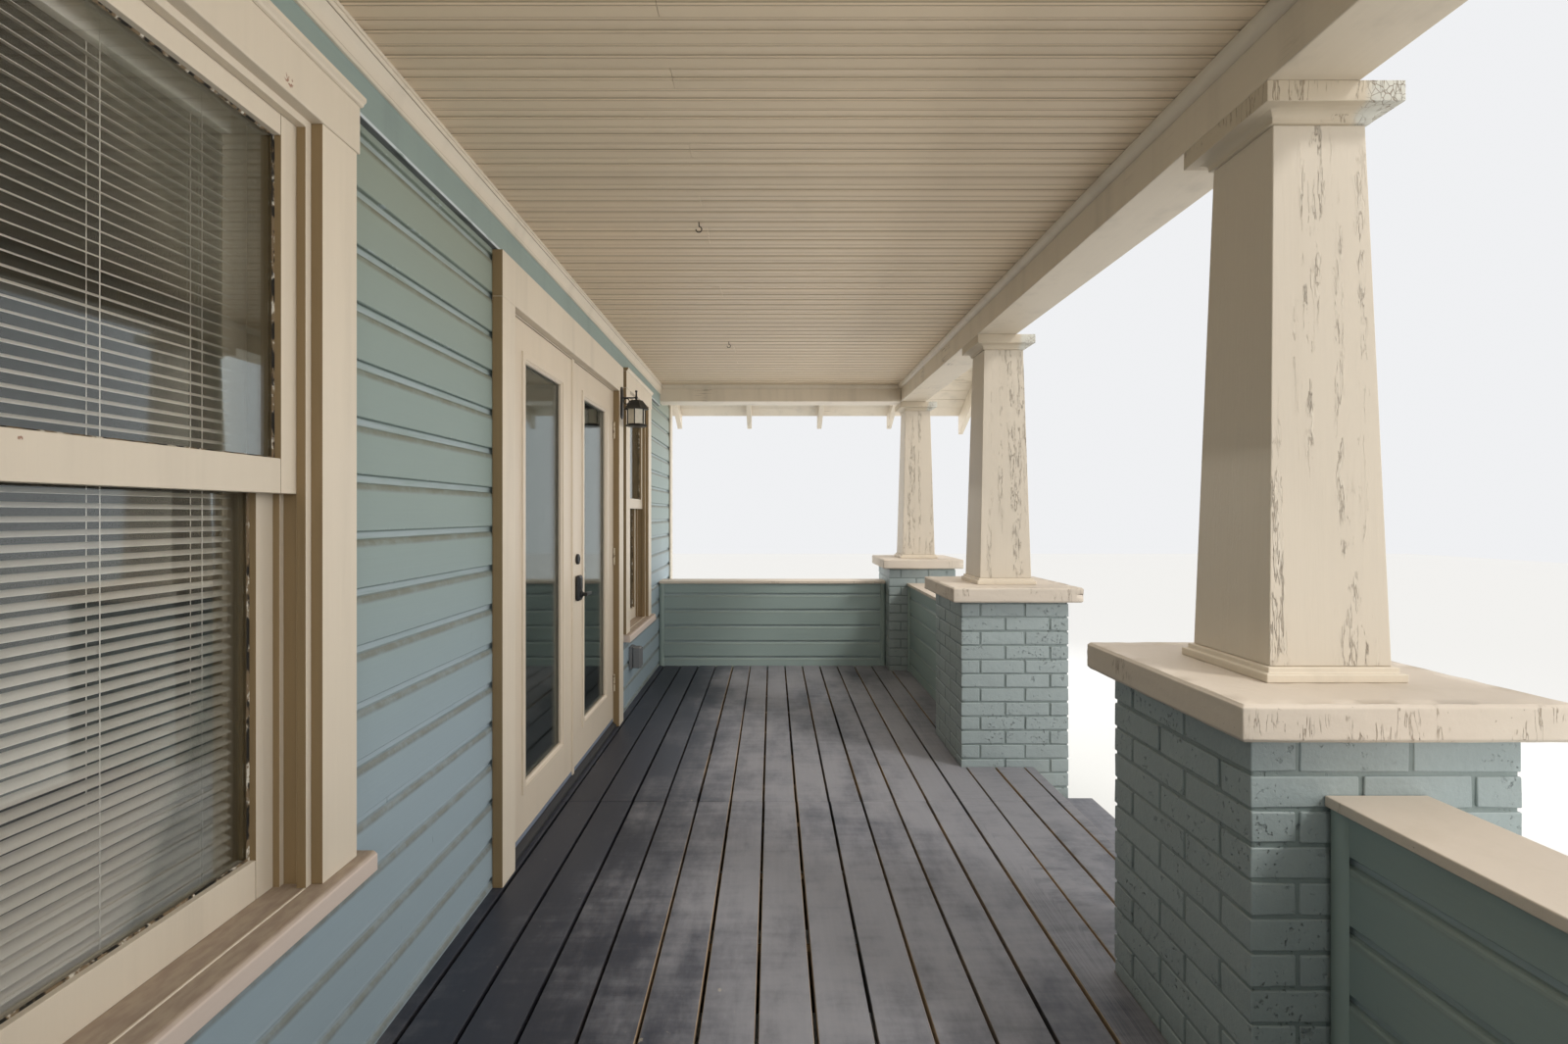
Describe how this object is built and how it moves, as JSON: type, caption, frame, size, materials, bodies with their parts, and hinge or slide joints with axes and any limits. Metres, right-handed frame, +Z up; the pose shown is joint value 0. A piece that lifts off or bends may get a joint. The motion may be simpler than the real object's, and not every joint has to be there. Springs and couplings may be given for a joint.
{
  "type": "front porch",
  "caption": "Gable-roofed front porch with tapered box columns on painted brick piers, knee walls, a board deck, double glass doors and sash windows in drop siding.",
  "frame": {"origin": "middle of the porch's footprint box, on the ground", "axes": "+X along the house wall towards the far window, +Y from the street towards the house, +Z up"},
  "size_m": [8.41, 3.26, 4.987],
  "materials": {
    "sage_paint": "satin paint, weathered",
    "cream_paint": "satin paint, cracked and peeling in places",
    "painted_brick": "painted brick",
    "concrete": "rough",
    "wall_panel": "plain",
    "deck_paint": "worn paint",
    "raw_timber": "sawn",
    "shingle": "mineral surfaced",
    "clear_glass": "clear",
    "frosted_glass": "frosted",
    "black_metal": "matte black",
    "steel": "dull",
    "threshold_metal": "dull",
    "grey_plastic": "matte",
    "blind_vinyl": "matte"
  },
  "bodies": {
    "porch": {"house_foundation": "concrete", "wall_near": "wall_panel", "wall_far": "wall_panel", "wall_over_door": "wall_panel", "wall_attic": "wall_panel", "house_siding": "sage_paint", "frieze_board": "sage_paint", "crown_moulding": "cream_paint", "corner_boards": "cream_paint", "window_casings": "cream_paint", "window_sills": "cream_paint", "window_frames": "cream_paint", "upper_sashes": "cream_paint", "lower_sashes": "cream_paint", "window_panes": "clear_glass", "window_blinds": "blind_vinyl", "door_casing": "cream_paint", "door_frame": "cream_paint", "door_threshold": "threshold_metal", "door_hinges": "steel", "lantern_frame": "black_metal", "lantern_panes": "frosted_glass", "outlet_cover": "grey_plastic", "deck_boards": "deck_paint", "deck_rims": "raw_timber", "deck_joists": "raw_timber", "entry_treads": "deck_paint", "step_stringers": "raw_timber", "brick_piers": "painted_brick", "pier_caps": "cream_paint", "column_bases": "cream_paint", "column_shafts": "cream_paint", "column_capitals": "cream_paint", "front_knee_walls": "sage_paint", "end_knee_walls": "sage_paint", "knee_wall_caps": "cream_paint", "knee_wall_trim": "sage_paint", "front_beam": "cream_paint", "end_beams": "cream_paint", "bed_moulding": "cream_paint", "ceiling": "cream_paint", "ceiling_hooks": "steel", "gable_wall": "sage_paint", "rafters": "raw_timber", "ridge_board": "raw_timber", "barge_boards": "cream_paint", "roof_boards": "raw_timber", "roof_shingles": "shingle", "ridge_cap": "shingle"},
    "near_door": {"near_door_leaf": "cream_paint", "near_door_pane": "clear_glass"},
    "far_door": {"far_door_leaf": "cream_paint", "far_door_pane": "clear_glass", "door_lock": "black_metal"}
  },
  "joints": [
    {"name": "near_door_hinge", "type": "hinge", "parent": "porch", "child": "near_door", "pos_m": [-0.2225, 1.473, 1.6], "axis": [0, 0, -1], "range_deg": [0, 95]},
    {"name": "far_door_hinge", "type": "hinge", "parent": "porch", "child": "far_door", "pos_m": [1.4025, 1.473, 1.6], "axis": [0, 0, 1], "range_deg": [0, 88]}
  ]
}
